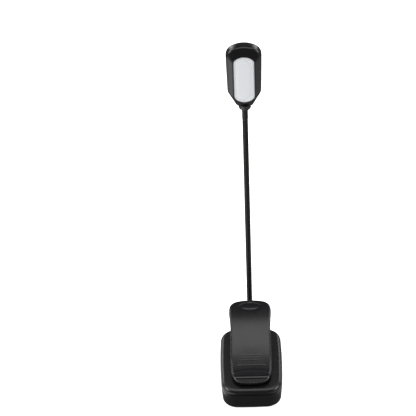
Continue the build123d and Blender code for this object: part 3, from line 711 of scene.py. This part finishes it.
def lever_relief(x, y, row, edge):
    """Height of the lever's moulded detail: rim bead, upturned jaw end, grooves and thumb rest."""
    width = sizes().rim_width / MM
    dish = sizes().dish_depth / MM
    shoulder = width * 0.7
    height = -dish * smooth_step(shoulder, width * 1.2, edge)
    if edge < shoulder:
        height -= 0.8 * (1 - math.sqrt(1 - (1 - max(0.0, edge) / shoulder) ** 2))
    inside = smooth_step(width * 0.9, width * 1.5, edge)
    behind_ridge = smooth_step(RIDGE_Y - 0.2, RIDGE_Y + 7.0, row)
    height -= 0.5 * smooth_step(ARCH_Y, ARCH_Y - 0.22, row) * behind_ridge * inside
    slope = 0.4 * min(1.0, max(0.0, RIDGE_Y - y))
    crest = (dish + 0.3 - slope) * smooth_step(RIDGE_Y - 1.25, RIDGE_Y - 0.95, y)
    height += crest * math.exp(-(max(0.0, y - RIDGE_Y) / 1.6) ** 2) * smooth_step(0.5, 1.2, edge)
    height -= 0.5 * smooth_step(RIDGE_Y - 0.95, RIDGE_Y - 1.25, y) * inside
    if y > LINE_Y:
        height -= 0.25 * math.exp(-(y - LINE_Y) / 2.6) * smooth_step(12.2, 10.8, abs(x)) * inside
    height -= 0.3 * math.exp(-((y - LINE_Y + 0.1) / 0.4) ** 2) * smooth_step(12.2, 10.8, abs(x)) * inside
    for groove in GROOVES_Y:
        height -= 0.1 * math.exp(-((y - groove) / 0.36) ** 2) * smooth_step(9.5, 7.5, abs(x))
    oval = math.hypot(x / 7.7, (y - THUMB_Y) / 2.0)
    if oval < 1:
        height -= sizes().thumb_depth / MM * (1 - oval ** 2)
    height += 0.22 * math.exp(-((oval - 1.06) / 0.13) ** 2)
    return height


def lever_rows():
    """Distances along the lever, closer together at both ends and over the jaw's detail."""
    rows = [LEVER_FRONT]
    while rows[-1] < LEVER_END:
        y = rows[-1]
        from_end = min(y - LEVER_FRONT, LEVER_END - y)
        from_detail = min(abs(y - place) for place in (RIDGE_Y, RIDGE_Y - 1.1, ARCH_Y, LINE_Y))
        coarse = 0.3 if y < 0 else 0.62
        rows.append(y + max(0.12, min(coarse, 0.12 + from_end * 0.11, 0.1 + from_detail * 0.12)))
    rows[-1] = LEVER_END
    return rows


def row_bow(row, share):
    """How far a row of points bends: round at both ends and arched behind the jaw."""
    bow = 0.35 * math.exp(-(row - LEVER_FRONT) / 1.5) - 0.25 * math.exp(-(LEVER_END - row) / 1.5)
    arch = ARCH_RISE * smooth_step(-8.5, ARCH_Y, row) * smooth_step(RIDGE_Y + 0.6, ARCH_Y - 1.5, row)
    return (bow - arch) * share


def lever_columns(half):
    """Distances across the lever, closer together over the rim."""
    rim = [0.0, 0.05, 0.15, 0.3, 0.48, 0.66, 0.84, 1.0, 1.15, 1.3, 1.45, 1.7, 2.2]
    inner = half - rim[-1]
    count = 44
    middle = [-inner + 2 * inner * i / count for i in range(1, count)]
    return [-(half - d) for d in rim] + middle + [half - d for d in reversed(rim)]


def make_lever_plate():
    """Curved plate of the lever with its rim, jaw, grooves and thumb rest."""
    rows = lever_rows()
    columns = len(lever_columns(10.0))
    bm = bmesh.new()
    bmesh.ops.create_grid(bm, x_segments=columns - 1, y_segments=len(rows) - 1, size=1)
    along = bm.verts.layers.float.new("along")
    for vert in bm.verts:
        row = round((vert.co.y + 1) / 2 * (len(rows) - 1))
        column = round((vert.co.x + 1) / 2 * (columns - 1))
        half = lever_half_width(rows[row])
        x = lever_columns(half)[column]
        y = rows[row] + row_bow(rows[row], (x / half) ** 2)
        edge = min(half - abs(x), rows[row] - LEVER_FRONT, (LEVER_END - rows[row]) * 1.35)
        fall = TIP_FALL * min(1.0, max(0.0, (RIDGE_Y - y) / (RIDGE_Y - LEVER_FRONT)))
        vert[along] = y
        vert.co = lever_point(x, y, lever_relief(x, y, rows[row], edge) - fall)
    top = bm.faces[:]
    under = bmesh.ops.extrude_face_region(bm, geom=top, use_keep_orig=True)["geom"]
    for vert in (item for item in under if isinstance(item, bmesh.types.BMVert)):
        vert.co = lever_point(vert.co.x, vert[along], -LEVER_THICKNESS)
    bmesh.ops.recalc_face_normals(bm, faces=bm.faces)
    piece = new_piece("lever_plate", bm, "clip", "clip_gloss_black", ("clip_lever",), 45)
    soften(piece, 0.28 * MM, 3, 55)
    return piece


def make_lever_skirts():
    """Turned-down sides that stiffen the handle."""
    bm = bmesh.new()
    for side in (-1, 1):
        rings = []
        for i in range(SKIRT_STEPS + 1):
            y = SKIRT_FIRST_Y + i * SKIRT_LENGTH / SKIRT_STEPS
            half = lever_half_width(y) - 0.15
            depth = LEVER_THICKNESS - 0.4 + 2.0 * math.sin(math.pi * i / SKIRT_STEPS) ** 0.5
            outer, inner = side * half, side * (half - 1.2)
            corners = [(outer, -1.4), (outer, -depth), (inner, -depth), (inner, -1.4)]
            rings.append(ring(bm, [lever_point(x, y, h) for x, h in corners]))
        bridge(bm, rings)
        cap(bm, rings[0])
        cap(bm, rings[-1])
    bmesh.ops.recalc_face_normals(bm, faces=bm.faces)
    piece = new_piece("handle_skirts", bm, "clip", "clip_gloss_black", (), 40)
    soften(piece, 0.25 * MM, 2)
    return piece


def make_lever_lugs():
    """Two lugs under the lever that turn on the pin, each with a flat web up to the plate."""
    bm = bmesh.new()
    for side in (-1, 1):
        inner, outer = side * LUG_INNER, side * LUG_OUTER
        rings = []
        for x in (inner, outer):
            points = []
            for i in range(25):
                angle = math.pi + math.pi * i / 24
                points.append((x, PIN_Y + LUG_RADIUS * math.cos(angle), PIN_Z + LUG_RADIUS * math.sin(angle)))
            for y in (PIN_Y + LUG_RADIUS, PIN_Y - LUG_RADIUS):
                points.append(lever_point(x, y, -LEVER_THICKNESS + 0.4))
            rings.append(ring(bm, points))
        bores = []
        for x in (inner, outer):
            points = [(x, PIN_Y + LUG_BORE * math.cos(math.pi + math.tau * i / 27),
                       PIN_Z + LUG_BORE * math.sin(math.pi + math.tau * i / 27)) for i in range(27)]
            bores.append(ring(bm, points))
        bridge(bm, [rings[0], rings[1], bores[1], bores[0]], closed=True)
    bmesh.ops.recalc_face_normals(bm, faces=bm.faces)
    return new_piece("lever_lugs", bm, "clip", "clip_gloss_black", (), 35)


def make_clip_spring():
    """Torsion spring: a close coil on the pin with one leg on the cover and one under the handle."""
    half, radius, wire, turns = 3.75, 2.15, 0.4, 7.5
    sides, steps = 10, 200
    path = [Vector((-half, 26.8, COVER_TOP + 0.45)), Vector((-half, PIN_Y + 4.0, PIN_Z - radius - 0.55))]
    for i in range(steps + 1):
        angle = -math.pi / 2 - math.tau * turns * i / steps
        x = -half + 2 * half * i / steps
        path.append(Vector((x, PIN_Y + radius * math.cos(angle), PIN_Z + radius * math.sin(angle))))
    path += [Vector((half, PIN_Y + 3.5, PIN_Z + radius + 1.6)), Vector((half, 26.8, 33.9))]
    bm = bmesh.new()
    rings = []
    for i, point in enumerate(path):
        ahead = path[min(i + 1, len(path) - 1)] - path[max(i - 1, 0)]
        across = Vector((1, 0, 0)).cross(ahead).normalized()
        up = ahead.cross(across).normalized()
        rings.append(ring(bm, [point + wire * (across * math.cos(math.tau * k / sides)
                                               + up * math.sin(math.tau * k / sides)) for k in range(sides)]))
    bridge(bm, rings)
    cap(bm, rings[0])
    cap(bm, rings[-1])
    bmesh.ops.recalc_face_normals(bm, faces=bm.faces)
    piece = new_piece("torsion_spring", bm, None, "spring_steel", ("clip_spring",), 60)
    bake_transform(piece)
    return piece


class LAMP_OT_clip(bpy.types.Operator):
    """Makes the sprung clip: lever, pads, pin and spring"""
    bl_idname = "lamp.clip"
    bl_label = "Clip"

    def execute(self, context):
        make_lever_plate()
        make_lever_skirts()
        make_lever_lugs()
        make_clip_spring()
        moulding("jaw_rubber", "jaw_pad", "clip", "rubber_black")
        moulding("cover_rubber", "base_grip_pad", "base", "rubber_black")
        dress("hinge_pin", "pin_steel")
        return {"FINISHED"}


# ---------------------------------------------------------------- base
class LAMP_OT_base(bpy.types.Operator):
    """Makes the base: shells, battery door, switch, feet and what they hold"""
    bl_idname = "lamp.base"
    bl_label = "Base"

    def execute(self, context):
        moulding("base_tray", "base_lower_shell", "base", "shell_black")
        moulding("base_cover", "base_upper_shell", "base", "shell_black")
        moulding("battery_cover", "battery_door", "battery_door", "shell_black")
        moulding("slide_knob", "switch_knob", "switch_knob", "knob_black")
        moulding("underside_rubber", "rubber_strips", "base", "rubber_black")
        dress("base_screws", "screw_steel")
        for index in (1, 2, 3):
            dress(f"battery_cell_{index}", "cell_jacket")
        dress("battery_springs", "spring_steel")
        dress("battery_plates", "contact_plate")
        dress("control_board", "board_green")
        dress("board_parts", "chip_black")
        dress("switch_body", "chip_black")
        dress("base_leads", "wire_insulation")
        return {"FINISHED"}


# ---------------------------------------------------------------- stage
CAMERA_DISTANCE = 2200.0
CAMERA_ELEVATION = math.radians(41.0)
CAMERA_ROLL = math.radians(-1.43)
CAMERA_LENS = 237.6
CAMERA_SHIFT = -0.0946
CAMERA_TARGET = Vector((0, NECK_Y, 122.5))
WORLD_STRENGTH = 0.17
LAMP_MIDDLE = (0, 0.02, 0.12)
SOFTBOXES = [
    ("overhead softbox", (0.0, 0.06, 1.5), (1.7, 1.15), 10.5, LAMP_MIDDLE),
    ("rear softbox", (0.0, 0.88, 1.4), (1.7, 0.55), 1.1, LAMP_MIDDLE),
    ("left rear softbox", (-1.1, 1.35, 0.72), (0.9, 0.5), 5.5, LAMP_MIDDLE),
    ("right rear softbox", (1.1, 1.35, 0.72), (0.9, 0.5), 4.5, LAMP_MIDDLE),
    ("left softbox", (-1.2, -0.2, 0.74), (0.75, 0.45), 9.5, LAMP_MIDDLE),
    ("right softbox", (1.2, -0.2, 0.74), (0.75, 0.45), 7.5, LAMP_MIDDLE),
    ("left bounce card", (-0.225, -0.16, 0.004), (0.39, 0.44), 0.78, (-0.225, -0.15, 1.0)),
    ("right bounce card", (0.21, -0.16, 0.004), (0.36, 0.44), 0.24, (0.21, -0.15, 1.0)),
]
BACKDROP_SIDES = 48
BACKDROP_PROFILE = [(0.02, 0.0), (5.0, 0.0), (6.0, 0.3), (6.6, 1.0), (6.8, 2.0), (6.8, 6.0), (0.02, 8.0)]


def make_camera():
    """Long lens that looks down on the lamp from the front."""
    data = bpy.data.cameras.new("camera")
    data.lens = CAMERA_LENS
    data.sensor_width = 36.0
    data.shift_x = CAMERA_SHIFT
    data.clip_end = 20.0
    camera = bpy.data.objects.new("camera", data)
    back = Vector((0, -math.cos(CAMERA_ELEVATION), math.sin(CAMERA_ELEVATION)))
    turn = Matrix.Rotation(math.pi / 2 - CAMERA_ELEVATION, 4, "X") @ Matrix.Rotation(CAMERA_ROLL, 4, "Z")
    camera.matrix_world = Matrix.Translation((CAMERA_TARGET + back * CAMERA_DISTANCE) * MM) @ turn
    bpy.context.scene.collection.objects.link(camera)
    bpy.context.scene.camera = camera


def add_softbox(name, place, size, power, aim):
    """Rectangular area light turned towards a point, all in metres and watts."""
    data = bpy.data.lights.new(name, "AREA")
    data.shape = "RECTANGLE"
    data.size, data.size_y = size
    data.energy = power
    light = bpy.data.objects.new(name, data)
    light.location = place
    light.rotation_euler = (Vector(aim) - Vector(place)).to_track_quat("-Z", "Y").to_euler()
    light.visible_camera = False
    bpy.context.scene.collection.objects.link(light)


def make_backdrop():
    """Wide pale floor that turns up into a round wall and a ceiling, lit evenly and out of the reflections."""
    bm = bmesh.new()
    turns = [math.tau * i / BACKDROP_SIDES for i in range(BACKDROP_SIDES)]
    rings = [ring(bm, [(reach * math.cos(turn), reach * math.sin(turn), height) for turn in turns])
             for reach, height in BACKDROP_PROFILE]
    bridge(bm, rings)
    cap(bm, rings[0])
    bmesh.ops.recalc_face_normals(bm, faces=bm.faces)
    bmesh.ops.reverse_faces(bm, faces=bm.faces)
    mesh = bpy.data.meshes.new("backdrop")
    bm.to_mesh(mesh)
    bm.free()
    mesh.materials.append(floor_paper())
    backdrop = bpy.data.objects.new("backdrop", mesh)
    bpy.context.scene.collection.objects.link(backdrop)
    backdrop.visible_glossy = False
    backdrop.visible_diffuse = False
    backdrop.visible_shadow = False


def make_world(strength):
    """Dim even surroundings, so that no side of the lamp is wholly dark."""
    world = bpy.data.worlds.new("studio")
    world.use_nodes = True
    background = world.node_tree.nodes["Background"]
    background.inputs["Color"].default_value = (1, 1, 1, 1)
    background.inputs["Strength"].default_value = strength
    bpy.context.scene.world = world


class LAMP_OT_stage(bpy.types.Operator):
    """Makes the camera, the floor and the soft lights"""
    bl_idname = "lamp.stage"
    bl_label = "Stage"

    def execute(self, context):
        scene = bpy.context.scene
        scene.view_settings.view_transform = "Standard"
        make_camera()
        make_backdrop()
        make_world(WORLD_STRENGTH)
        for softbox in SOFTBOXES:
            add_softbox(*softbox)
        return {"FINISHED"}


# ---------------------------------------------------------------- add-on frame
OPERATORS = (LAMP_OT_base, LAMP_OT_clip, LAMP_OT_neck, LAMP_OT_head, LAMP_OT_stage)


class LAMP_PT_panel(bpy.types.Panel):
    """Lists the lamp's steps and settings"""
    bl_label = "Reading Lamp"
    bl_space_type = "VIEW_3D"
    bl_region_type = "UI"
    bl_category = "Lamp"

    def draw(self, context):
        for operator in OPERATORS:
            self.layout.operator(operator.bl_idname)
        for group in (context.scene.lamp_sizes, context.scene.lamp_colours):
            for name in group.bl_rna.properties.keys():
                if name not in ("rna_type", "name"):
                    self.layout.prop(group, name)


CLASSES = (LampColours, LampSizes, *OPERATORS, LAMP_PT_panel)


def register():
    """Registers the classes and hangs the settings on the scene."""
    for item in CLASSES:
        bpy.utils.register_class(item)
    bpy.types.Scene.lamp_colours = PointerProperty(type=LampColours)
    bpy.types.Scene.lamp_sizes = PointerProperty(type=LampSizes)


def unregister():
    """Takes the settings and the classes away again."""
    del bpy.types.Scene.lamp_sizes
    del bpy.types.Scene.lamp_colours
    for item in reversed(CLASSES):
        bpy.utils.unregister_class(item)


def corners(box):
    """A box as plain lists of numbers."""
    return [list(corner) for corner in box]


def main():
    """Makes every piece in order."""
    register()
    make_materials()
    bpy.ops.lamp.base()
    bpy.ops.lamp.clip()
    bpy.ops.lamp.neck()
    bpy.ops.lamp.head()
    bpy.ops.lamp.stage()


if __name__ == "__main__":
    main()
